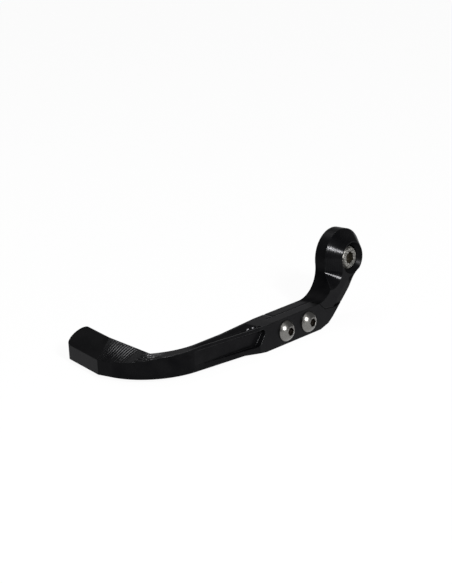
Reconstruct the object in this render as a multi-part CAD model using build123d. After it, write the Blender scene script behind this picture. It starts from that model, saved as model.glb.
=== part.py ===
from build123d import *
import math
import os

# Lever guard for a handlebar end, in millimetres.
# X points outboard along the bolt, -Y forward along the arm and Z up.
# The origin is on the bolt axis, on the face of the eye that sits against the bar.
# Forward distances are measured along -Y, and headings turn from -Y towards -X.

# Bracket: eye, neck and tongue
THICKNESS = 11.2
EYE_RADIUS = 12.9
RIM_LENGTH = 5.6
LAND_RADIUS = 7.6
LAND_WIDTH = 0.4
NECK_FILLET = 13.0
NECK_SLOPE = 41.0
NECK_FOOT_FILLET = 2.0
NECK_BEVEL = 8.5
NECK_RIM = 6.6
BEVEL_BLEND = 8.0
CONE_END = 192.0
CONE_RUNOUT_RADIUS = 2.5

# Joint between the tongue and the arm's lap
JOINT_TOP = -15.1
JOINT_HEIGHT = 12.0
TONGUE_THICKNESS = 5.3
REAR_SCREW = 33.1
SCREW_PITCH = 15.3
SEAM_KNEE_FORWARD = 21.2
SEAM_KNEE_DROP = 3.1
SEAM_RISE = 42.0
SEAM_FALL = 6.0
SEAM_GAP = 0.3
SEAM_GROOVE = 0.35
LAP_BEVEL = 6.0
LAP_FOOT = 0.9

# Arm: plan of the front and rear faces
TAPER_START = 66.0
TAPER_HEADING = 8.0
BEND_START = 102.4
BEND_RADIUS = 28.0
BEND_END_HEADING = 85.0
SHOULDER_RUN = 7.8
TIP_HEADING = 108.0
TIP_RUN = 25.9
TIP_WIDTH = 9.7
REAR_STRAIGHT = 95.0
REAR_RADIUS = 29.2
REAR_TURN = 42.5
INNER_HEADING = 87.0

# Arm: heights, all measured down from the top of the joint or up from the arm's underside
ARM_HEIGHT = 10.3
STEP_START = 62.0
STEP_END = 75.0
STEP_FILLET = 15.0
TIP_RISE = 2.6
TIP_WALL = 6.6
FACET_START_HEADING = 38.0
FACET_SECTIONS = 6
FACET_OVERLAP = 1.0

# Arm: recess along the top and groove along the front
TOP_RECESS = 1.0
TOP_RIM = 0.8
RECESS_END = 63.5
RECESS_END_RADIUS = 1.6
RECESS_END_ANGLE = 78.0
SHELF_START = 57.0
SHELF_END = 79.0
RIM_FADE_START = 98.0
GROOVE_LAND = 1.3
GROOVE_HEIGHT = 7.2
GROOVE_END = 63.2
GROOVE_LEAN = 38.0
GROOVE_CORNER = 1.8
GROOVE_DEPTH = 2.8
GROOVE_RUN = 38.0
GROOVE_NARROWING = 1.0

# Button-head screws (5 mm thread)
SCREW_RADIUS = 2.5
SCREW_LENGTH = 10.0
BUTTON_RADIUS = 4.75
BUTTON_HEIGHT = 2.75
BUTTON_EDGE = 0.35
BUTTON_FLAT = 2.3
BUTTON_BULGE = 0.68
BUTTON_SOCKET = 3.5
BUTTON_SOCKET_DEPTH = 1.6
SCREW_HOLE_CLEARANCE = 0.25
TAPPED_CLEARANCE = 0.05

# Bar-end bolt: socket head, plain shank through the eye and a 6 mm thread past its seat
BOLT_RADIUS = 3.0
THREAD_LENGTH = 6.2
SHANK_RADIUS = 3.3
HEAD_RADIUS = 5.1
HEAD_HEIGHT = 6.0
HEAD_CHAMFER = 0.6
HEAD_RECESS = 1.4
BOLT_SOCKET = 5.0
BOLT_SOCKET_DEPTH = 3.0
COUNTERBORE_CLEARANCE = 0.4
SHANK_CLEARANCE = 0.25

# Allowances that carry a cutter past the surface it opens, and one for tight places
OVERCUT = 5.0
SKIM = 1.0

# Values worked out from the sizes above
joint_bottom = JOINT_TOP - JOINT_HEIGHT
joint_middle = JOINT_TOP - JOINT_HEIGHT / 2
front_screw = REAR_SCREW + SCREW_PITCH
screw_places = [REAR_SCREW, front_screw]
arm_bottom = JOINT_TOP - ARM_HEIGHT
recess_floor = JOINT_TOP - TOP_RECESS
tip_top = JOINT_TOP + TIP_RISE
tip_ridge = arm_bottom + TIP_WALL
bevel_depth = THICKNESS - RIM_LENGTH
counterbore_floor = THICKNESS - HEAD_RECESS - HEAD_HEIGHT
counterbore_radius = HEAD_RADIUS + COUNTERBORE_CLEARANCE
mouth_radius = LAND_RADIUS - LAND_WIDTH


def heading(angle):
    """Unit vector in plan, turned from forward (-Y) towards inboard (-X)."""
    return Vector(-math.sin(math.radians(angle)), -math.cos(math.radians(angle)))


def outward(angle):
    """Unit vector in plan, square to a heading, on the arm's front side."""
    return Vector(math.cos(math.radians(angle)), -math.sin(math.radians(angle)))


def polar(angle):
    """Unit vector at an angle from the first axis of a sketch."""
    return Vector(math.cos(math.radians(angle)), math.sin(math.radians(angle)))


def crossing(point, direction, other, other_direction):
    """Where two lines in a plane meet."""
    gap = other - point
    det = direction.X * other_direction.Y - direction.Y * other_direction.X
    return point + direction * ((gap.X * other_direction.Y - gap.Y * other_direction.X) / det)


def side_prism(face, start, end):
    """A face drawn in Y and Z, extruded along X from start to end."""
    return extrude(Plane.YZ.offset(start) * face, amount=end - start)


def side_rod(forward, height, radius, start, end):
    """A cylinder along X."""
    return side_prism(Pos(-forward, height) * Circle(radius), start, end)


def polygon(*points):
    return make_face(Polyline(*points, close=True))


# Neck outline: a fillet joins the eye to the joint's top, a tangent runs down to the joint's underside
fillet_height = JOINT_TOP + NECK_FILLET
fillet_forward = math.sqrt((EYE_RADIUS + NECK_FILLET) ** 2 - fillet_height ** 2)
fillet_centre = Vector(-fillet_forward, fillet_height)
fillet_angle = math.degrees(math.atan2(fillet_height, -fillet_forward)) % 360
neck_normal = polar(NECK_SLOPE - 90)
neck_run = polar(NECK_SLOPE + 180)
neck_tangent = neck_normal * EYE_RADIUS
neck_foot = crossing(neck_tangent, neck_run, Vector(0, joint_bottom), Vector(1, 0))

# Seam between the neck and the rear end of the lap
seam_knee = Vector(-SEAM_KNEE_FORWARD, JOINT_TOP - SEAM_KNEE_DROP)
seam_rise = polar(180 - SEAM_RISE)
seam_fall = polar(-SEAM_FALL)


def side_outline():
    """Eye, neck and tongue seen from the side."""
    eye_start = polar(fillet_angle) * EYE_RADIUS
    tongue_top = Vector(-front_screw, JOINT_TOP)
    tongue_bottom = Vector(-front_screw, joint_bottom)
    tongue_end = Vector(-front_screw - JOINT_HEIGHT / 2, joint_middle)
    fillet_foot = Vector(-fillet_forward, JOINT_TOP)
    fillet_middle = fillet_centre + polar((fillet_angle - 180 - 90) / 2) * NECK_FILLET
    face = make_face([
        Line(tongue_top, fillet_foot),
        ThreePointArc(fillet_foot, fillet_middle, eye_start),
        ThreePointArc(eye_start, polar(90) * EYE_RADIUS, neck_tangent),
        Line(neck_tangent, neck_foot),
        Line(neck_foot, tongue_bottom),
        ThreePointArc(tongue_bottom, tongue_end, tongue_top),
    ])
    foot = face.vertices().sort_by_distance((neck_foot.X, neck_foot.Y, 0))[0]
    return fillet(foot, NECK_FOOT_FILLET)


def below_seam(gap):
    """Everything under and forward of the seam, drawn back from it by a gap."""
    knee = seam_knee - (polar(90 - SEAM_RISE) + polar(90 - SEAM_FALL)).normalized() * gap
    top = knee + seam_rise * (2 * NECK_FILLET)
    rear = knee + seam_fall * (4 * EYE_RADIUS)
    low = joint_bottom - OVERCUT
    front = -TAPER_START
    return polygon(top, knee, rear, (rear.X, low), (front, low), (front, top.Y))


def eye_cone():
    """Cutter for the cone round the eye, from the neck's underside over the top to a round runout."""
    slope = (EYE_RADIUS - LAND_RADIUS) / bevel_depth
    outer = EYE_RADIUS + NECK_FILLET
    section = polygon(
        (RIM_LENGTH, EYE_RADIUS),
        (THICKNESS + SKIM, LAND_RADIUS - slope),
        (THICKNESS + SKIM, outer),
        (RIM_LENGTH, outer),
    )
    start = NECK_SLOPE - 90
    ring = revolve(Rot(X=start) * section, Axis.X, revolution_arc=CONE_END - start)
    end = polar(CONE_END) * (EYE_RADIUS + CONE_RUNOUT_RADIUS)
    tool = Plane.YZ.offset(RIM_LENGTH) * Pos(end.X, end.Y) * Circle(CONE_RUNOUT_RADIUS)
    return ring + extrude(tool, amount=bevel_depth + SKIM, taper=-math.degrees(math.atan(slope)))


def edge_bevel(*stations):
    """Cutter for a bevel down the neck's lower edge, from stations of run, rim and width."""
    along = Vector(0, neck_run.X, neck_run.Y)
    across = Vector(0, neck_normal.X, neck_normal.Y)
    sections = []
    for run, rim, width in stations:
        plane = Plane(along * run, x_dir=(1, 0, 0), z_dir=Vector(1, 0, 0).cross(across))
        slope = width / (THICKNESS - rim)
        sections.append(plane * polygon(
            (rim, EYE_RADIUS),
            (THICKNESS + SKIM, EYE_RADIUS - width - slope * SKIM),
            (THICKNESS + SKIM, EYE_RADIUS + OVERCUT),
            (rim, EYE_RADIUS + OVERCUT),
        ))
    return loft(sections, ruled=True)


def neck_bevel():
    """Cutter that carries the eye's cone on down the neck and widens it."""
    past_foot = (neck_foot - neck_tangent).length + OVERCUT
    return edge_bevel(
        (0, RIM_LENGTH, EYE_RADIUS - LAND_RADIUS),
        (BEVEL_BLEND, NECK_RIM, NECK_BEVEL),
        (past_foot, NECK_RIM, NECK_BEVEL),
    )


def lap_bevel():
    """Cutter for the narrower bevel on the lap's rear end, in line with the neck's rim."""
    past_foot = (neck_foot - neck_tangent).length + OVERCUT
    return edge_bevel((0, NECK_RIM, LAP_BEVEL), (past_foot, NECK_RIM, LAP_BEVEL))


def lap_foot():
    """Cutter for the small flat where the lap's bevel meets its underside."""
    bevel_rise = neck_normal * (THICKNESS - NECK_RIM)
    bevel_facing = Vector(LAP_BEVEL, bevel_rise.X, bevel_rise.Y).normalized()
    facing = (bevel_facing - Vector(0, 0, 1)).normalized()
    corner = Vector(NECK_RIM, neck_foot.X, neck_foot.Y)
    block = Box(4 * THICKNESS, 4 * THICKNESS, OVERCUT, align=(Align.CENTER, Align.CENTER, Align.MIN))
    return Plane(corner - facing * LAP_FOOT, z_dir=facing) * block


def seam_groove():
    """Small vee along the top of the split between tongue and lap."""
    vee = Pos(TONGUE_THICKNESS, JOINT_TOP) * Rot(Z=45) * Rectangle(
        SEAM_GROOVE * math.sqrt(2), SEAM_GROOVE * math.sqrt(2))
    start = crossing(seam_knee, seam_rise, Vector(0, JOINT_TOP), Vector(1, 0))
    length = front_screw + JOINT_HEIGHT / 2 + start.X
    return extrude(Plane.XZ.offset(-start.X) * vee, amount=length)


def counterbore_mouth():
    """Cutter that flares the counterbore out to a narrow land on the eye's front."""
    return revolve(polygon(
        (THICKNESS - mouth_radius + counterbore_radius, 0),
        (THICKNESS - mouth_radius + counterbore_radius, counterbore_radius),
        (THICKNESS + SKIM, mouth_radius + SKIM),
        (THICKNESS + SKIM, 0),
    ), Axis.X)


def make_bracket():
    body = side_prism(side_outline(), 0, THICKNESS)
    body -= side_prism(below_seam(0), TONGUE_THICKNESS, THICKNESS + OVERCUT)
    body -= eye_cone()
    body -= neck_bevel()
    body -= seam_groove()
    for forward in screw_places:
        body -= side_rod(forward, joint_middle, SCREW_RADIUS + TAPPED_CLEARANCE, -SKIM, THICKNESS)
    body -= side_rod(0, 0, SHANK_RADIUS + SHANK_CLEARANCE, -SKIM, THICKNESS)
    body -= side_rod(0, 0, counterbore_radius, counterbore_floor, THICKNESS + SKIM)
    body -= counterbore_mouth()
    return body


# Plan of the arm: front face, bend and tip, then back along the rear face
taper_corner = Vector(THICKNESS, -TAPER_START)
bend_start = taper_corner + heading(TAPER_HEADING) * (
    (BEND_START - TAPER_START) / math.cos(math.radians(TAPER_HEADING)))
bend_centre = bend_start - outward(TAPER_HEADING) * BEND_RADIUS
bend_end = bend_centre + outward(BEND_END_HEADING) * BEND_RADIUS
outer_kink = bend_end + heading(BEND_END_HEADING) * SHOULDER_RUN
tip_outer = outer_kink + heading(TIP_HEADING) * TIP_RUN
tip_inner = tip_outer - outward(TIP_HEADING) * TIP_WIDTH
tip_nose = (tip_outer + tip_inner) / 2 + heading(TIP_HEADING) * (TIP_WIDTH / 2)
rear_end = Vector(0, -REAR_STRAIGHT)
rear_centre = rear_end - outward(0) * REAR_RADIUS
inner_corner = rear_centre + outward(REAR_TURN) * REAR_RADIUS
inner_kink = crossing(inner_corner, heading(INNER_HEADING), tip_inner, heading(TIP_HEADING))
facet_start = bend_centre + outward(FACET_START_HEADING) * BEND_RADIUS


def plan_outline():
    """The arm seen from above, from the forward screw to the tip."""
    bend_middle = bend_centre + outward((TAPER_HEADING + BEND_END_HEADING) / 2) * BEND_RADIUS
    rear_middle = rear_centre + outward(REAR_TURN / 2) * REAR_RADIUS
    root_front = Vector(THICKNESS, -front_screw)
    root_rear = Vector(0, -front_screw)
    return make_face([
        Line(root_front, taper_corner),
        Line(taper_corner, bend_start),
        ThreePointArc(bend_start, bend_middle, bend_end),
        Line(bend_end, outer_kink),
        Line(outer_kink, tip_outer),
        ThreePointArc(tip_outer, tip_nose, tip_inner),
        Line(tip_inner, inner_kink),
        Line(inner_kink, inner_corner),
        ThreePointArc(inner_corner, rear_middle, rear_end),
        Line(rear_end, root_rear),
        Line(root_rear, root_front),
    ])


def lap_outline():
    """The lap seen from the side: it fills the joint under the seam, with a slanted rear end."""
    top = crossing(neck_tangent, neck_run, Vector(0, JOINT_TOP), Vector(1, 0))
    plate = polygon((-front_screw, JOINT_TOP), top, neck_foot, (-front_screw, joint_bottom))
    foot = plate.vertices().sort_by_distance((neck_foot.X, neck_foot.Y, 0))[0]
    return fillet(foot, NECK_FOOT_FILLET) & below_seam(SEAM_GAP)


def facet_section(outer, inner):
    """Upright cutter face over a straight line between a point of the ridge and one of the inner edge."""
    reach = (outer - inner).normalized() * FACET_OVERLAP
    up = Vector(0, 0, JOINT_HEIGHT)
    return polygon(outer + reach, inner - reach, inner - reach + up, outer + reach + up)


def facet_cutters():
    """Over the bend the facet twists from level to its full slope; along the tip it is flat."""
    bend_run = BEND_RADIUS * math.radians(BEND_END_HEADING - FACET_START_HEADING)
    sections = []
    for step in range(FACET_SECTIONS):
        share = step / (FACET_SECTIONS - 1)
        run = share * (bend_run + SHOULDER_RUN)
        turned = FACET_START_HEADING + math.degrees(min(run, bend_run) / BEND_RADIUS)
        outer = bend_centre + outward(turned) * BEND_RADIUS
        outer += heading(BEND_END_HEADING) * max(run - bend_run, 0)
        inner = inner_corner + (inner_kink - inner_corner) * share
        outer.Z = recess_floor + (tip_ridge - recess_floor) * (1 - (1 - share) ** 2)
        inner.Z = recess_floor + (tip_top - recess_floor) * share
        sections.append(facet_section(outer, inner))
    along = heading(TIP_HEADING)
    over_tip = extrude(sections[-1], amount=TIP_RUN + TIP_WIDTH, dir=along)
    return [loft(sections), over_tip]


def arm_top_cutter():
    """Everything over the arm's top, which falls to the recess floor where the facet starts."""
    across = (facet_start - inner_corner).normalized()
    near = inner_corner - across * TOP_RECESS
    far = facet_start + across * BEND_RADIUS
    high = tip_top + OVERCUT
    plan = polygon((near.X, near.Y), (far.X, far.Y), (far.X, -front_screw), (near.X, -front_screw))
    zone = extrude(Pos(0, 0, joint_middle) * plan, amount=high - joint_middle)
    profile = polygon(
        (-front_screw, JOINT_TOP),
        (-RIM_FADE_START, JOINT_TOP),
        (inner_corner.Y, recess_floor),
        (inner_corner.Y - BEND_RADIUS, recess_floor),
        (inner_corner.Y - BEND_RADIUS, high),
        (-front_screw, high),
    )
    return zone & side_prism(profile, near.X - OVERCUT, far.X + OVERCUT)


def top_recess():
    """Shallow pocket along the arm's top behind a thin front rim, and a shelf that falls into it."""
    along = heading(TAPER_HEADING)
    across = outward(TAPER_HEADING)
    rim_corner = taper_corner - across * TOP_RIM
    rim_start = rim_corner + along * (RECESS_END + RECESS_END_RADIUS - TAPER_START)
    end_centre = rim_start - across * RECESS_END_RADIUS
    end_middle = end_centre + polar((90 + RECESS_END_ANGLE - TAPER_HEADING) / 2) * RECESS_END_RADIUS
    slant_start = end_centre + polar(90 + RECESS_END_ANGLE) * RECESS_END_RADIUS
    pocket_end = rim_start + along * (SHELF_END - RECESS_END)
    slant_end = crossing(slant_start, polar(180 + RECESS_END_ANGLE), pocket_end, Vector(1, 0))
    pocket = make_face([
        Line(rim_start, pocket_end),
        Line(pocket_end, slant_end),
        Line(slant_end, slant_start),
        ThreePointArc(slant_start, end_middle, rim_start),
    ])
    rim_back = crossing(rim_corner, along, Vector(0, SKIM - SHELF_START), Vector(1, 0))
    rim_bend = bend_start - across * TOP_RIM
    rim_end = facet_start - outward(FACET_START_HEADING) * TOP_RIM
    rim_middle = bend_centre + outward((TAPER_HEADING + FACET_START_HEADING) / 2) * (BEND_RADIUS - TOP_RIM)
    behind = inner_corner.X - OVERCUT
    shelf = make_face([
        Line(rim_back, rim_bend),
        ThreePointArc(rim_bend, rim_middle, rim_end),
        Line(rim_end, inner_corner),
        Line(inner_corner, (behind, inner_corner.Y)),
        Line((behind, inner_corner.Y), (behind, rim_back.Y)),
        Line((behind, rim_back.Y), rim_back),
    ])
    high = JOINT_TOP + OVERCUT
    fall = polygon(
        (-SHELF_START, JOINT_TOP),
        (-SHELF_END, recess_floor),
        (inner_corner.Y - OVERCUT, recess_floor),
        (inner_corner.Y - OVERCUT, high),
        (-SHELF_START, high),
    )
    floor = Pos(0, 0, recess_floor)
    falling = extrude(floor * shelf, amount=high - recess_floor) & side_prism(fall, behind, 2 * THICKNESS)
    return [extrude(floor * pocket, amount=high - recess_floor), falling]


def front_groove():
    """Groove along the front face; its floor runs out where the face turns into the bend."""
    half = GROOVE_HEIGHT / 2
    middle = JOINT_TOP - GROOVE_LAND - half
    run_out = bend_start
    floor_start = Vector(THICKNESS - GROOVE_DEPTH, -GROOVE_END - half)
    floor_run = (run_out - floor_start).normalized()
    plane = Plane(
        Vector(floor_start.X, floor_start.Y, middle),
        x_dir=(floor_run.X, floor_run.Y, 0),
        z_dir=(-floor_run.Y, floor_run.X, 0),
    )
    turned_over = plane.y_dir.Z
    upper = half * turned_over
    lower = -half * turned_over
    narrowed = (-half + GROOVE_NARROWING) * turned_over
    lean = half * math.tan(math.radians(GROOVE_LEAN))
    upper_corner = (-half - lean, upper)
    lower_corner = (-half + lean, lower)
    slot = polygon(upper_corner, (GROOVE_RUN, upper), (GROOVE_RUN, narrowed), lower_corner)
    ends = [slot.vertices().sort_by_distance((*corner, 0))[0] for corner in (upper_corner, lower_corner)]
    slot = fillet(ends, GROOVE_CORNER)
    return extrude(plane * slot, amount=THICKNESS)


def underside_cutter():
    """Everything under the arm, which steps up from the joint."""
    low = joint_bottom - OVERCUT
    ahead = outer_kink.Y - OVERCUT
    profile = polygon(
        (-STEP_START, joint_bottom),
        (-STEP_END, arm_bottom),
        (ahead, arm_bottom),
        (ahead, low),
        (-STEP_START, low),
    )
    step = profile.vertices().sort_by_distance((-STEP_END, arm_bottom, 0))[0]
    return side_prism(fillet(step, STEP_FILLET), tip_nose.X - OVERCUT, THICKNESS + OVERCUT)


def make_arm():
    body = extrude(Pos(0, 0, joint_bottom) * plan_outline(), amount=tip_top + SKIM - joint_bottom)
    body -= arm_top_cutter()
    for cutter in facet_cutters():
        body -= cutter
    body -= underside_cutter()
    tongue_space = JOINT_HEIGHT / 2 + SEAM_GAP
    body -= side_rod(front_screw, joint_middle, tongue_space, -SKIM, TONGUE_THICKNESS)
    body += side_prism(lap_outline(), TONGUE_THICKNESS, THICKNESS) - lap_bevel() - lap_foot()
    for cutter in top_recess():
        body -= cutter
    body -= front_groove()
    body -= seam_groove()
    for forward in screw_places:
        body -= side_rod(forward, joint_middle, SCREW_RADIUS + SCREW_HOLE_CLEARANCE, 0, THICKNESS + SKIM)
    return body


def hex_socket(across_flats, depth, face_place):
    """Cutter for a hexagon socket that opens towards +X."""
    hexagon = RegularPolygon(across_flats / 2, 6, major_radius=False)
    return side_prism(hexagon, face_place - depth, face_place + SKIM)


def make_button_screw():
    """Screw along X with its head's underside at the origin."""
    dome_middle = (BUTTON_FLAT + BUTTON_RADIUS) / 2
    sag = BUTTON_HEIGHT - BUTTON_EDGE
    bulge = BUTTON_EDGE + sag * BUTTON_BULGE
    half = make_face([
        Line((-SCREW_LENGTH, 0), (BUTTON_HEIGHT, 0)),
        Line((BUTTON_HEIGHT, 0), (BUTTON_HEIGHT, BUTTON_FLAT)),
        ThreePointArc((BUTTON_HEIGHT, BUTTON_FLAT), (bulge, dome_middle), (BUTTON_EDGE, BUTTON_RADIUS)),
        Line((BUTTON_EDGE, BUTTON_RADIUS), (0, BUTTON_RADIUS)),
        Line((0, BUTTON_RADIUS), (0, SCREW_RADIUS)),
        Line((0, SCREW_RADIUS), (-SCREW_LENGTH, SCREW_RADIUS)),
        Line((-SCREW_LENGTH, SCREW_RADIUS), (-SCREW_LENGTH, 0)),
    ])
    screw = revolve(half, Axis.X)
    return screw - hex_socket(BUTTON_SOCKET, BUTTON_SOCKET_DEPTH, BUTTON_HEIGHT)


def make_bolt():
    """Bolt along X, seated on the floor of the eye's counterbore."""
    face_place = counterbore_floor + HEAD_HEIGHT
    half = polygon(
        (-THREAD_LENGTH, 0),
        (face_place, 0),
        (face_place, HEAD_RADIUS - HEAD_CHAMFER),
        (face_place - HEAD_CHAMFER, HEAD_RADIUS),
        (counterbore_floor, HEAD_RADIUS),
        (counterbore_floor, SHANK_RADIUS),
        (0, SHANK_RADIUS),
        (0, BOLT_RADIUS),
        (-THREAD_LENGTH, BOLT_RADIUS),
    )
    return revolve(half, Axis.X) - hex_socket(BOLT_SOCKET, BOLT_SOCKET_DEPTH, face_place)


screw = make_button_screw()
screws = [Pos(THICKNESS, -forward, joint_middle) * screw for forward in screw_places]
nodes = {
    "bracket": make_bracket(),
    "guard_arm": make_arm(),
    "joint_screws": Compound(children=screws),
    "bar_end_bolt": make_bolt(),
}
os.makedirs("parts", exist_ok=True)
for name, shape in nodes.items():
    export_step(shape, f"parts/{name}.step")
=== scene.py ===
import bmesh
import bpy
import math
from mathutils import Matrix, Vector


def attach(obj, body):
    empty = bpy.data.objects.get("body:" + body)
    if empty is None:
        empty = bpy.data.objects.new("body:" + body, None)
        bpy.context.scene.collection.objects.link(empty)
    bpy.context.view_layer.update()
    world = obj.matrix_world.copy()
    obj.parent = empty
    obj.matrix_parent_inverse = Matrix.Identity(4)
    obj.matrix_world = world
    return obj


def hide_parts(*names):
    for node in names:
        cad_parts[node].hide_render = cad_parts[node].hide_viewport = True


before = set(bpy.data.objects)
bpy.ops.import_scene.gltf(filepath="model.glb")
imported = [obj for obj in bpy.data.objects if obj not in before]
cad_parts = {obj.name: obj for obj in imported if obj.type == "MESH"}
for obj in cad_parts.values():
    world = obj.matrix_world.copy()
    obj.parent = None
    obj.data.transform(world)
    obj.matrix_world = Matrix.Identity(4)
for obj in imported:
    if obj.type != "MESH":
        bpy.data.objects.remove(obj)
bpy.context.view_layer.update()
MM = 0.001

# Place of the camera round the guard
VIEW_AZIMUTH = 42
VIEW_ELEVATION = 16.5
VIEW_ROLL = -3.2
VIEW_DISTANCE = 0.9
VIEW_SIDESTEP = 0.0485
VIEW_DROP = 0.017
VIEW_NEAREST = 0.01
LENS = 122.05
SENSOR_WIDTH = 36

# Floor and light, in metres
FLOOR_HEIGHT = -0.0272
FLOOR_RADIUS = 3.0
FLOOR_STEPS = 96
FLOOR_WHITE = 0.95
FLOOR_GREY = (0.85, 0.85, 0.85, 1)
SURROUND_GREY = 0.2
BACKDROP_DISTANCE = 1.6
BACKDROP_WIDTH = 1.4
BACKDROP_HEIGHT = 0.75
GUARD_MIDDLE = (-0.012, -0.05, -0.012)

# Screws at the lap joint, in millimetres
SCREW_MIDDLE = -40.75
SCREW_HALF_PITCH = 7.65
SCREW_HEIGHT = -21.1
BUTTON_TOP = 13.95
BUTTON_SOCKET_EDGE = (2.12, 2.0)
BUTTON_SOCKET_DEPTHS = (-3.2, -3.0, -0.25, -0.02)
BUTTON_EDGE_ROUND = 0.12
BUTTON_RING_PITCH = 0.3
BUTTON_RING_DEPTH = 0.0015
BUTTON_RING_WOBBLE = 0.03

# Bar-end bolt, in millimetres
BOLT_STEPS = 96
THREAD_END = -6.2
THREAD_CREST = 3.0
THREAD_ROOT = 2.5
THREAD_PITCH = 1.0
THREAD_LIFT = 0.02
THREAD_ALLOWANCE = 0.03
THREAD_STEPS = 48
SHANK_RADIUS = 3.3
HEAD_UNDERSIDE = 3.8
HEAD_TOP = 9.8
HEAD_RADIUS = 5.1
HEAD_CHAMFER = 0.6
SOCKET_ACROSS = 5.0
SOCKET_DEPTH = 3.0
SOCKET_EDGE = (3.0, 2.85)
SOCKET_DEPTHS = (-4.3, -3.3, -0.4, -0.05)
BOLT_EDGE_ROUND = 0.15
SPECK_DEPTH = 0.05
FLECK_DEPTH = 0.04
KNURL_COUNT = 44
KNURL_DEPTH = 0.22
KNURL_SIDES = 6
KNURL_ALLOWANCE = 0.1

# Tool marks, in millimetres
HATCH_PITCH = 1.32
HATCH_DEPTH = 0.028
HATCH_WOBBLE = 0.1
SWIRL_PITCH = 1.7
SWIRL_DEPTH = 0.08
SWIRL_WOBBLE = 0.6
SWIRL_INBOARD = 11.0
SWIRL_FORWARD = 107.0
# Two raised uncoated spots on the pocket wall, placed to catch the light: painted glints
GLINT_SPOT_START = 68.95
GLINT_SPOT_PITCH = 2.6
GLINT_SPOT_DEPTH = 0.3
GLINT_SPOT_CREST = (-0.3, 0.8)
WORN_CREST = (-0.5, 0.5)
TURNED_PITCH = 0.75
TURNED_DEPTH = 0.01
TURNED_WOBBLE = 0.1
TURNED_CREST = (0.5, 1)
LINE_PITCH = 0.4
LINE_DEPTH = 0.0012
LINE_WOBBLE = 0.2
ARM_LINE_SLANT = 0.1
BRACKET_LINE_SLANT = 0.4
GRAIN_DEPTH = 0.003
EDGE_ROUND = 0.4
EDGE_SAMPLES = 8

# Where the marks lie, in millimetres: from nothing to full, and for four values back to nothing
HATCH_ACROSS = (-29, -25, -15, -12)
HATCH_AHEAD = (-112, -114)
SWIRL_ACROSS = (-10, -8, -4, -1)
SWIRL_AHEAD = (-110, -113)
WORN_AHEAD = (-118.5, -116)
# Pocket wall and height band of the painted glint spots
POCKET_ACROSS = (5.6, 6.0, 7.4, 7.8)
POCKET_ALONG = (-70, -69.4, -65, -64.4)
GLINT_SPOT_HEIGHT = (-16.35, -15.85, -15.85, -15.35)
# The channel's floor along the arm's top loses its gloss: painted shade that stands for the shade of a
# deeper channel
CHANNEL_ACROSS = (1, 1.6)
CHANNEL_ALONG = (-104, -96, -64, -63.4)
CHANNEL_FLOOR = (-15.2, -15.35)
CONE_REACH = (7.2, 7.7)
# The neck's hollow loses its gloss: painted shade in the hollow
HOLLOW_ALONG = (-28, -24, -8, -4)
HOLLOW_HEIGHT = (-2, -6)

# The same for the way that a surface faces, as the share of its direction along one axis
FACES_UP = (0.6, 0.8)
FACES_SIDEWAYS = (0.6, 0.3)
FACES_OUTBOARD = (0.8, 0.95)
FLAT_FRONT = (0.9, 0.98)
CONE_FACING = (0.5, 0.65, 0.8, 0.9)
HOLLOW_FACING = (0.6, 0.3)
# Gloss fades on undersides: painted shade for darker surroundings below
UNDERSIDE_PAINTED_SHADE = (-0.5, 0)

# Gloss of the anodised film: its share of the light, and what adds to it or takes from it
FILM_SHARE = 0.0026
FILM_SLANT = (0.15, 0.75)
FILM_SLANT_SHARE = 0.028
FILM_GRAZING = (0.7, 0.95)
FILM_GRAZING_SHARE = 0.12
# How much gloss the painted shade takes off
SHADE_GLOSS_LOSS = 0.8
CUT_SHARE = 0.0025
EDGE_SHARE = 0.008
# Gloss of uncoated metal: worn swirl crests, turned rings and the painted glint spots
UNCOATED_AND_GLINT_SHARE = 0.5
WORN_BARE = 0.1
GLINT_SPOT_BARE = 1.5
RING_BARE = 0.004

# Grain of the finishes: its scale to a millimetre, its detail and its roughness
CLOUD_NOISE = (0.12, 4.0)
GRAIN_NOISE = (5.0, 3.0, 0.65)
WOBBLE_NOISE = (0.6, 2.0)
SCREW_NOISE = (6.0, 3.0, 0.65)
SPECK_NOISE = (1.9, 3.0, 0.7)
FLECK_NOISE = (4.5, 2.0, 0.6)

# Roughness of the finishes, and what adds to it or takes from it
ANODISED_ROUGHNESS = 0.22
CLOUD_ROUGHNESS = 0.08
GRAIN_ROUGHNESS = 0.08
CUT_SMOOTHNESS = 0.15
# Roughness of uncoated metal, the painted glint spots among it
UNCOATED_AND_GLINT_ROUGHNESS = 0.25
SCREW_ROUGHNESS = 0.22
SCREW_GRAIN_ROUGHNESS = 0.16
SCREW_SOCKET_ROUGHNESS = 0.2
BOLT_ROUGHNESS = 0.36
BOLT_GRAIN_ROUGHNESS = 0.2

# How the grain is spread between the darker and the lighter colour
BLACK_SPREAD = (0.3, 0.7)
RUBBED_EDGE = (0.01, 0.2)
RUBBED_SPREAD = (0.45, 0.7)
RUBBED_SHARE = 0.3
SCREW_SPREAD = (0.3, 0.7)
SPECK_SHARE = 0.6
FLECK_SHARE = 0.4
SPECK_MIDDLE = 0.52
SPECK_SPREAD = (-0.1, 0.1)
HEAD_FADE = 1
SHANK_SPECKS = 0.15

# Colours
DEEP_BLACK = (0.0016, 0.0016, 0.0019, 1)
FADED_BLACK = (0.0034, 0.0034, 0.0037, 1)
RUBBED_GREY = (0.06, 0.06, 0.064, 1)
FILM_TINT = (0.97, 0.97, 1, 1)
SCREW_DARK = (0.12, 0.117, 0.111, 1)
SCREW_BRIGHT = (0.25, 0.246, 0.236, 1)
SCREW_SOCKET = (0.03, 0.025, 0.021, 1)
BOLT_DARK = (0.015, 0.0145, 0.013, 1)
BOLT_BRIGHT = (0.5, 0.49, 0.46, 1)
BOLT_SOCKET = (0.11, 0.1, 0.08, 1)


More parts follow.
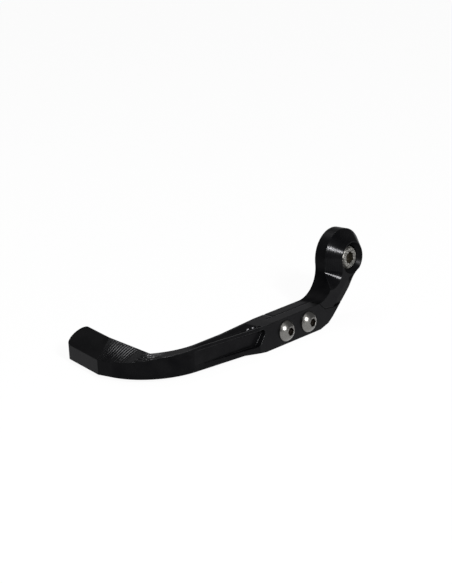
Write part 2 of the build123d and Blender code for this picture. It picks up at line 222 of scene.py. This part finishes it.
class Wire:
    """A value on its way through the nodes of a material."""

    def __init__(self, tree, socket=None):
        self.tree = tree
        self.socket = socket

    def make(self, kind, settings=None, inputs=None, output=0):
        node = self.tree.nodes.new(kind)
        for name, value in (settings or {}).items():
            setattr(node, name, value)
        for name, value in (inputs or {}).items():
            if isinstance(value, Wire):
                self.tree.links.new(value.socket, node.inputs[name])
            else:
                node.inputs[name].default_value = value
        return Wire(self.tree, node.outputs[output] if node.outputs else None)

    def sum(self, operation, *values):
        return self.make("ShaderNodeMath", {"operation": operation}, dict(enumerate(values)))

    def __add__(self, other):
        return self.sum("ADD", self, other)

    def __radd__(self, other):
        return self.sum("ADD", other, self)

    def __sub__(self, other):
        return self.sum("SUBTRACT", self, other)

    def __rsub__(self, other):
        return self.sum("SUBTRACT", other, self)

    def __mul__(self, other):
        return self.sum("MULTIPLY", self, other)

    def size(self):
        return self.sum("ABSOLUTE", self)

    def root(self):
        return self.sum("SQRT", self)

    def wave(self, pitch):
        return self.sum("SINE", self * (2 * math.pi / pitch))

    def ramp(self, none, full):
        """Goes smoothly from 0 at none to 1 at full, whichever of them is larger."""
        ends = {"Value": self, "From Min": none, "From Max": full}
        return self.make("ShaderNodeMapRange", {"interpolation_type": "SMOOTHSTEP"}, ends)

    def between(self, start, full, fade, end):
        """Rises from 0 at start to 1 at full, and falls again from fade to end."""
        return self.ramp(start, full) * self.ramp(end, fade)

    def split(self):
        node = self.make("ShaderNodeSeparateXYZ", None, {0: self}).socket.node
        return [Wire(self.tree, socket) for socket in node.outputs]

    def dot(self, other):
        return self.make("ShaderNodeVectorMath", {"operation": "DOT_PRODUCT"}, {0: self, 1: other}, "Value")

    def noise(self, scale, detail=3.0, roughness=0.55):
        sizes = {"Vector": self, "Scale": scale, "Detail": detail, "Roughness": roughness}
        return self.make("ShaderNodeTexNoise", None, sizes)

    def blend(self, low, high):
        """Colour that goes from low to high as this value goes from 0 to 1."""
        return self.make("ShaderNodeMix", {"data_type": "RGBA"}, {0: self, 6: low, 7: high}, 2)


def empty_material(name):
    material = bpy.data.materials.new(name)
    material.use_nodes = True
    material.node_tree.nodes.clear()
    return material, Wire(material.node_tree)


def place_on_object(start):
    """The object's own place in millimetres."""
    place = start.make("ShaderNodeTexCoord", output="Object")
    return start.make("ShaderNodeVectorMath", {"operation": "SCALE"}, {0: place, "Scale": 1 / MM})


def show(start, shader):
    start.make("ShaderNodeOutputMaterial", None, {"Surface": shader})


def rounded_edges(start, radius):
    """Surface direction with the edges rounded by a radius in millimetres."""
    return start.make("ShaderNodeBevel", {"samples": EDGE_SAMPLES}, {"Radius": radius * MM})


def relief(start, height, rounded):
    """Surface direction of a height in millimetres laid over the rounded edges."""
    inputs = {"Strength": 1.0, "Distance": MM, "Height": height, "Normal": rounded}
    return start.make("ShaderNodeBump", None, inputs)


def anodised(name, tool_marks):
    """Black anodised aluminium: a dark dye under a thin gloss, with tool marks, rubbed edges, painted shade
    and painted glints.
    """
    material, start = empty_material(name)
    place = place_on_object(start)
    facing = start.make("ShaderNodeNewGeometry", output="Normal")
    rounded = rounded_edges(start, EDGE_ROUND)
    edge = (1 - rounded.dot(facing)).ramp(*RUBBED_EDGE)
    cloud = place.noise(*CLOUD_NOISE)
    grain = place.noise(*GRAIN_NOISE)
    # The marks also give uncoated metal with painted glint spots, and painted shade
    height, cut, uncoated_and_glints, painted_shade = tool_marks(place, facing)
    surface = relief(start, height + grain * GRAIN_DEPTH, rounded)
    black = cloud.ramp(*BLACK_SPREAD).blend(DEEP_BLACK, FADED_BLACK)
    rubbed = edge * grain.ramp(*RUBBED_SPREAD) * RUBBED_SHARE
    roughness = ANODISED_ROUGHNESS + cloud * CLOUD_ROUGHNESS + grain * GRAIN_ROUGHNESS
    roughness = roughness - cut * CUT_SMOOTHNESS + uncoated_and_glints * UNCOATED_AND_GLINT_ROUGHNESS
    dye = start.make("ShaderNodeBsdfPrincipled", None, {
        "Base Color": rubbed.blend(black, RUBBED_GREY),
        "Roughness": roughness,
        "Specular IOR Level": 0.0,
        "Normal": surface,
    })
    gloss = start.make("ShaderNodeBsdfPrincipled", None, {
        "Base Color": FILM_TINT,
        "Metallic": 1.0,
        "Roughness": roughness,
        "Normal": surface,
    })
    grazing = start.make("ShaderNodeLayerWeight", None, {"Blend": 0.5, "Normal": surface}, "Facing")
    slant = grazing.ramp(*FILM_SLANT) * FILM_SLANT_SHARE + grazing.ramp(*FILM_GRAZING) * FILM_GRAZING_SHARE
    # The film's gloss fades on undersides: painted shade
    film = FILM_SHARE + slant * facing.split()[2].ramp(*UNDERSIDE_PAINTED_SHADE)
    # Painted shade takes gloss off; uncoated spots, the painted glints among them, add gloss
    share = film * (1 - painted_shade * SHADE_GLOSS_LOSS) + cut * CUT_SHARE + edge * EDGE_SHARE + uncoated_and_glints * UNCOATED_AND_GLINT_SHARE
    show(start, start.make("ShaderNodeMixShader", None, {0: share, 1: dye, 2: gloss}))
    return material


def arm_marks(place, facing):
    """Height, polish, uncoated metal with painted glints, and painted shade of the arm's marks.

    Scallops cross the hooked tip, a swirl lies at the inner corner, two raised uncoated spots on the pocket
    wall stand in as painted glints, the channel's floor loses its gloss as painted shade and fine milling
    lines run along the walls.
    """
    x, y, z = place.split()
    facing_x, _, facing_z = facing.split()
    wobble = place.noise(*WOBBLE_NOISE)
    upward = facing_z.ramp(*FACES_UP)
    hatch_zone = upward * x.between(*HATCH_ACROSS) * y.ramp(*HATCH_AHEAD)
    across = x + wobble * HATCH_WOBBLE
    hatch = across.wave(HATCH_PITCH)
    polished = 0.5 - (across + HATCH_PITCH / 4).wave(HATCH_PITCH) * 0.5
    swirl_x = x + SWIRL_INBOARD
    swirl_y = y + SWIRL_FORWARD
    reach = (swirl_x * swirl_x + swirl_y * swirl_y).root()
    swirl_zone = upward * y.ramp(*SWIRL_AHEAD) * x.between(*SWIRL_ACROSS)
    swirl = (reach + wobble * SWIRL_WOBBLE).wave(SWIRL_PITCH)
    worn = swirl_zone * y.ramp(*WORN_AHEAD) * (swirl * wobble).ramp(*WORN_CREST)
    # Two raised uncoated spots on the pocket wall: painted glints
    pocket_wall = facing_x.ramp(*FACES_OUTBOARD) * x.between(*POCKET_ACROSS) * y.between(*POCKET_ALONG)
    glint_spot_row = (y + GLINT_SPOT_START).wave(GLINT_SPOT_PITCH).ramp(*GLINT_SPOT_CREST)
    glint_spots = pocket_wall * glint_spot_row * z.between(*GLINT_SPOT_HEIGHT)
    lines = (z + x * ARM_LINE_SLANT + wobble * LINE_WOBBLE).wave(LINE_PITCH)
    lines = lines * facing_z.size().ramp(*FACES_SIDEWAYS)
    height = hatch * hatch_zone * HATCH_DEPTH + swirl * swirl_zone * SWIRL_DEPTH
    height = height + glint_spots * GLINT_SPOT_DEPTH + lines * LINE_DEPTH
    # The channel's floor loses its gloss: painted shade
    painted_shade = upward * z.ramp(*CHANNEL_FLOOR) * x.ramp(*CHANNEL_ACROSS) * y.between(*CHANNEL_ALONG)
    return height, hatch_zone * polished + swirl_zone, worn * WORN_BARE + glint_spots * GLINT_SPOT_BARE, painted_shade


def bracket_marks(place, facing):
    """Height, polish, uncoated metal and painted shade of the bracket's marks.

    Turned rings lie on the eye's cone, the neck's hollow loses its gloss as painted shade and fine milling
    lines run over the flats.
    """
    x, y, z = place.split()
    facing_x = facing.split()[0]
    wobble = place.noise(*WOBBLE_NOISE)
    reach = (y * y + z * z).root()
    cone = facing_x.between(*CONE_FACING) * reach.ramp(*CONE_REACH)
    rings = (x + wobble * TURNED_WOBBLE).wave(TURNED_PITCH)
    lines = (z + y * BRACKET_LINE_SLANT + wobble * LINE_WOBBLE).wave(LINE_PITCH)
    lines = lines * facing_x.size().ramp(*FLAT_FRONT)
    height = rings * cone * TURNED_DEPTH + lines * LINE_DEPTH
    # The neck's hollow loses its gloss: painted shade
    hollow = facing_x.ramp(*HOLLOW_FACING) * y.between(*HOLLOW_ALONG) * z.ramp(*HOLLOW_HEIGHT)
    return height, cone, cone * rings.ramp(*TURNED_CREST) * RING_BARE, hollow


def stainless(name):
    """Bright button heads, turned about their own axes, with darker, rougher sockets."""
    material, start = empty_material(name)
    place = place_on_object(start)
    x, y, z = place.split()
    side = (y - SCREW_MIDDLE).size() - SCREW_HALF_PITCH
    drop = z - SCREW_HEIGHT
    reach = (side * side + drop * drop).root()
    grain = place.noise(*SCREW_NOISE)
    rings = (reach + grain * BUTTON_RING_WOBBLE).wave(BUTTON_RING_PITCH)
    in_socket = reach.ramp(*BUTTON_SOCKET_EDGE) * (x - BUTTON_TOP).between(*BUTTON_SOCKET_DEPTHS)
    steel = grain.ramp(*SCREW_SPREAD).blend(SCREW_DARK, SCREW_BRIGHT)
    height = rings * BUTTON_RING_DEPTH + grain * GRAIN_DEPTH
    roughness = SCREW_ROUGHNESS + grain * SCREW_GRAIN_ROUGHNESS + in_socket * SCREW_SOCKET_ROUGHNESS
    show(start, start.make("ShaderNodeBsdfPrincipled", None, {
        "Base Color": in_socket.blend(steel, SCREW_SOCKET),
        "Metallic": 1.0,
        "Roughness": roughness,
        "Normal": relief(start, height, rounded_edges(start, BUTTON_EDGE_ROUND)),
    }))
    return material


def dull_steel(name):
    """Duller, slightly warm steel of the bar-end bolt, with a speckled head and a dark socket."""
    material, start = empty_material(name)
    place = place_on_object(start)
    x, y, z = place.split()
    reach = (y * y + z * z).root()
    grain = place.noise(*SPECK_NOISE)
    fleck = place.noise(*FLECK_NOISE)
    in_socket = reach.ramp(*SOCKET_EDGE) * (x - HEAD_TOP).between(*SOCKET_DEPTHS)
    worn_head = x.ramp(HEAD_UNDERSIDE, HEAD_UNDERSIDE + HEAD_FADE) * (1 - SHANK_SPECKS) + SHANK_SPECKS
    speck = (grain * SPECK_SHARE + fleck * FLECK_SHARE - SPECK_MIDDLE) * worn_head
    steel = speck.ramp(*SPECK_SPREAD).blend(BOLT_DARK, BOLT_BRIGHT)
    height = (grain * SPECK_DEPTH + fleck * FLECK_DEPTH) * worn_head
    show(start, start.make("ShaderNodeBsdfPrincipled", None, {
        "Base Color": in_socket.blend(steel, BOLT_SOCKET),
        "Metallic": 1.0,
        "Roughness": BOLT_ROUGHNESS + grain * BOLT_GRAIN_ROUGHNESS,
        "Normal": relief(start, height, rounded_edges(start, BOLT_EDGE_ROUND)),
    }))
    return material


def add_mesh(name, mesh_data, material):
    mesh = bpy.data.meshes.new(name)
    mesh_data.to_mesh(mesh)
    mesh_data.free()
    mesh.materials.append(material)
    piece = bpy.data.objects.new(name, mesh)
    bpy.context.scene.collection.objects.link(piece)
    return piece


def round_ring(radius):
    return [radius] * BOLT_STEPS


def hexagon_ring(across):
    """Distances from the middle of a hexagon to its sides, all the way round."""
    sixth = math.pi / 3
    ring = []
    for step in range(BOLT_STEPS):
        angle = 2 * math.pi * step / BOLT_STEPS
        turned = (angle + sixth / 2) % sixth - sixth / 2
        ring.append(across / 2 / math.cos(turned))
    return ring


def bolt_body(material):
    """Bolt turned about X, with a hexagon socket and a plain core inside the thread."""
    socket_floor = HEAD_TOP - SOCKET_DEPTH
    rings = [
        (THREAD_END, round_ring(0.0)),
        (THREAD_END, round_ring(THREAD_ROOT)),
        (0, round_ring(THREAD_ROOT)),
        (0, round_ring(SHANK_RADIUS)),
        (HEAD_UNDERSIDE, round_ring(SHANK_RADIUS)),
        (HEAD_UNDERSIDE, round_ring(HEAD_RADIUS - KNURL_DEPTH)),
        (HEAD_TOP - HEAD_CHAMFER, round_ring(HEAD_RADIUS - KNURL_DEPTH)),
        (HEAD_TOP, round_ring(HEAD_RADIUS - HEAD_CHAMFER)),
        (HEAD_TOP, hexagon_ring(SOCKET_ACROSS)),
        (socket_floor, hexagon_ring(SOCKET_ACROSS)),
        (socket_floor, round_ring(0.0)),
    ]
    data = bmesh.new()
    loops = []
    for place, ring in rings:
        loop = []
        for step, reach in enumerate(ring):
            angle = 2 * math.pi * step / BOLT_STEPS
            corner = (place * MM, reach * math.cos(angle) * MM, reach * math.sin(angle) * MM)
            loop.append(data.verts.new(corner))
        loops.append(loop)
    for lower, upper in zip(loops, loops[1:]):
        for step in range(BOLT_STEPS):
            after = (step + 1) % BOLT_STEPS
            data.faces.new((lower[step], lower[after], upper[after], upper[step]))
    bmesh.ops.remove_doubles(data, verts=data.verts, dist=1e-6)
    bmesh.ops.dissolve_degenerate(data, edges=data.edges, dist=1e-7)
    bmesh.ops.recalc_face_normals(data, faces=data.faces)
    return add_mesh("bolt_body", data, material)


def node_tree(name, sizes):
    """Geometry tree with named size inputs and one geometry output, and a wire from each size."""
    tree = bpy.data.node_groups.new(name, "GeometryNodeTree")
    for label in sizes:
        tree.interface.new_socket(label, in_out="INPUT", socket_type="NodeSocketFloat")
    tree.interface.new_socket("Geometry", in_out="OUTPUT", socket_type="NodeSocketGeometry")
    inputs = tree.nodes.new("NodeGroupInput").outputs
    return tree, {socket.name: Wire(tree, socket) for socket in inputs if socket.name}


def lay_along_bolt(start, shape, shift, material):
    """Ends a tree: turns a shape from Z to X, moves it along X and gives it its material."""
    laid = start.make("GeometryNodeTransform", None, {
        "Geometry": shape,
        "Translation": start.make("ShaderNodeCombineXYZ", None, {"X": shift}),
        "Rotation": (0, math.pi / 2, 0),
    })
    solid = start.make("GeometryNodeRealizeInstances", None, {0: laid})
    done = start.make("GeometryNodeSetMaterial", None, {"Geometry": solid, "Material": material})
    start.make("NodeGroupOutput", None, {"Geometry": done})


def run_tree(name, tree, sizes):
    """Makes a plain mesh piece from a geometry tree."""
    maker = bpy.data.objects.new(name + "_maker", bpy.data.meshes.new(name + "_maker"))
    bpy.context.scene.collection.objects.link(maker)
    modifier = maker.modifiers.new("tree", "NODES")
    modifier.node_group = tree
    for item in tree.interface.items_tree:
        if item.in_out == "INPUT":
            modifier[item.identifier] = float(sizes[item.name])
    evaluated = maker.evaluated_get(bpy.context.evaluated_depsgraph_get())
    mesh = bpy.data.meshes.new_from_object(evaluated)
    mesh.name = name
    bpy.data.objects.remove(maker)
    piece = bpy.data.objects.new(name, mesh)
    bpy.context.scene.collection.objects.link(piece)
    return piece


def bolt_thread(material):
    """One V-shaped ridge wound round the bolt's core along X."""
    sizes = {
        "Turns": (-THREAD_END - THREAD_PITCH) / THREAD_PITCH,
        "Radius": (THREAD_ROOT + THREAD_LIFT) * MM,
        "Length": (-THREAD_END - THREAD_PITCH) * MM,
        "Start": (THREAD_END + THREAD_PITCH / 2) * MM,
        "Ridge": (THREAD_CREST - THREAD_ROOT - THREAD_ALLOWANCE) * MM,
    }
    tree, size = node_tree("thread_tree", sizes)
    start = Wire(tree)
    spiral = start.make("GeometryNodeCurveSpiral", None, {
        "Resolution": THREAD_STEPS,
        "Rotations": size["Turns"],
        "Start Radius": size["Radius"],
        "End Radius": size["Radius"],
        "Height": size["Length"],
    })
    ridge = start.make("GeometryNodeCurvePrimitiveCircle", {"mode": "RADIUS"}, {
        "Resolution": 4,
        "Radius": size["Ridge"],
    })
    wound = start.make("GeometryNodeCurveToMesh", None, {
        "Curve": spiral,
        "Profile Curve": ridge,
        "Fill Caps": True,
    })
    lay_along_bolt(start, wound, size["Start"], material)
    return run_tree("bolt_thread", tree, sizes)


def bolt_knurl(material):
    """Ring of straight ridges round the bolt's head."""
    length = HEAD_TOP - HEAD_CHAMFER - HEAD_UNDERSIDE
    sizes = {
        "Count": KNURL_COUNT,
        "Radius": (HEAD_RADIUS - KNURL_DEPTH) * MM,
        "Ridge": KNURL_DEPTH * MM,
        "Length": (length - KNURL_ALLOWANCE) * MM,
        "Middle": (HEAD_UNDERSIDE + length / 2) * MM,
    }
    tree, size = node_tree("knurl_tree", sizes)
    start = Wire(tree)
    ring = start.make("GeometryNodeMeshCircle", None, {"Vertices": size["Count"], "Radius": size["Radius"]})
    bar = start.make("GeometryNodeMeshCylinder", None, {
        "Vertices": KNURL_SIDES,
        "Side Segments": 1,
        "Radius": size["Ridge"],
        "Depth": size["Length"],
    }, "Mesh")
    bars = start.make("GeometryNodeInstanceOnPoints", None, {"Points": ring, "Instance": bar})
    lay_along_bolt(start, bars, size["Middle"], material)
    return run_tree("bolt_knurl", tree, sizes)


def add_camera():
    azimuth, elevation, roll = (math.radians(v) for v in (VIEW_AZIMUTH, VIEW_ELEVATION, VIEW_ROLL))
    back = Vector((
        math.sin(azimuth) * math.cos(elevation),
        -math.cos(azimuth) * math.cos(elevation),
        math.sin(elevation),
    ))
    level_right = Vector((math.cos(azimuth), math.sin(azimuth), 0))
    level_up = back.cross(level_right)
    right = level_right * math.cos(roll) + level_up * math.sin(roll)
    up = level_up * math.cos(roll) - level_right * math.sin(roll)
    lens = bpy.data.cameras.new("camera")
    lens.lens = LENS
    lens.sensor_width = SENSOR_WIDTH
    lens.clip_start = VIEW_NEAREST
    camera = bpy.data.objects.new("camera", lens)
    turned = Matrix((right, up, back)).transposed().to_4x4()
    place = back * VIEW_DISTANCE - right * VIEW_SIDESTEP - up * VIEW_DROP
    camera.matrix_world = Matrix.Translation(place) @ turned
    bpy.context.scene.collection.objects.link(camera)
    bpy.context.scene.camera = camera


def add_lamp(name, direction, distance, width, length, power):
    """Flat lamp that looks at the middle of the guard, with its length laid along the arm."""
    away = Vector(direction).normalized()
    across = Vector((0, 1, 0)).cross(away).normalized()
    turned = Matrix((across, away.cross(across), away)).transposed().to_4x4()
    lamp_data = bpy.data.lights.new(name, "AREA")
    lamp_data.shape = "RECTANGLE"
    lamp_data.size = width
    lamp_data.size_y = length
    lamp_data.energy = power
    lamp = bpy.data.objects.new(name, lamp_data)
    lamp.matrix_world = Matrix.Translation(Vector(GUARD_MIDDLE) + away * distance) @ turned
    bpy.context.scene.collection.objects.link(lamp)


def white_stage(name):
    """White that shows the same to the camera and in reflections, with a trace of shadow."""
    material, start = empty_material(name)
    path = start.make("ShaderNodeLightPath").socket.node.outputs
    camera, mirrored, through = (
        Wire(start.tree, path[ray]) for ray in ("Is Camera Ray", "Is Glossy Ray", "Is Transmission Ray")
    )
    seen = start.sum("MAXIMUM", start.sum("MAXIMUM", camera, mirrored), through)
    lit = start.make("ShaderNodeBsdfDiffuse", None, {"Color": FLOOR_GREY})
    white = start.make("ShaderNodeEmission", None, {"Color": (1, 1, 1, 1), "Strength": 1.0})
    show(start, start.make("ShaderNodeMixShader", None, {0: seen * FLOOR_WHITE, 1: lit, 2: white}))
    return material


def add_floor():
    """Round white floor under the guard and a low white backdrop behind it."""
    white = white_stage("white_stage")
    data = bmesh.new()
    bmesh.ops.create_circle(data, cap_ends=True, segments=FLOOR_STEPS, radius=FLOOR_RADIUS)
    floor = add_mesh("floor", data, white)
    floor.location.z = FLOOR_HEIGHT
    azimuth = math.radians(VIEW_AZIMUTH)
    away = Vector((-math.sin(azimuth), math.cos(azimuth), 0))
    along = Vector((math.cos(azimuth), math.sin(azimuth), 0))
    middle = away * BACKDROP_DISTANCE + Vector((0, 0, FLOOR_HEIGHT))
    data = bmesh.new()
    corners = []
    for side, rise in ((-0.5, 0), (0.5, 0), (0.5, 1), (-0.5, 1)):
        place = middle + along * (side * BACKDROP_WIDTH) + Vector((0, 0, rise * BACKDROP_HEIGHT))
        corners.append(data.verts.new(place))
    data.faces.new(corners)
    backdrop = add_mesh("backdrop", data, white)


def add_surround():
    world = bpy.data.worlds.new("surround")
    world.use_nodes = True
    sky = world.node_tree.nodes["Background"]
    sky.inputs["Color"].default_value = (SURROUND_GREY, SURROUND_GREY, SURROUND_GREY, 1)
    sky.inputs["Strength"].default_value = 1.0
    bpy.context.scene.world = world


def paint(node, material):
    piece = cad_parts[node]
    piece.data.materials.clear()
    piece.data.materials.append(material)


paint("guard_arm", anodised("anodised_arm", arm_marks))
paint("bracket", anodised("anodised_bracket", bracket_marks))
paint("joint_screws", stainless("bright_stainless"))

bolt_steel = dull_steel("dull_stainless")
body = bolt_body(bolt_steel)
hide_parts("bar_end_bolt")
for piece in (body, bolt_thread(bolt_steel), bolt_knurl(bolt_steel)):
    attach(piece, "root")

add_floor()
add_surround()
add_lamp("near_lamp", (0.773, -0.40, 0.50), distance=0.9, width=0.15, length=0.09, power=11)
add_lamp("rear_lamp", (-0.40, 0.167, 0.90), distance=0.78, width=0.05, length=0.32, power=1.4)
add_lamp("top_softbox", (0.1, -0.3, 0.95), distance=1.0, width=0.7, length=0.7, power=1.5)
add_camera()
bpy.context.scene.view_settings.view_transform = "Standard"
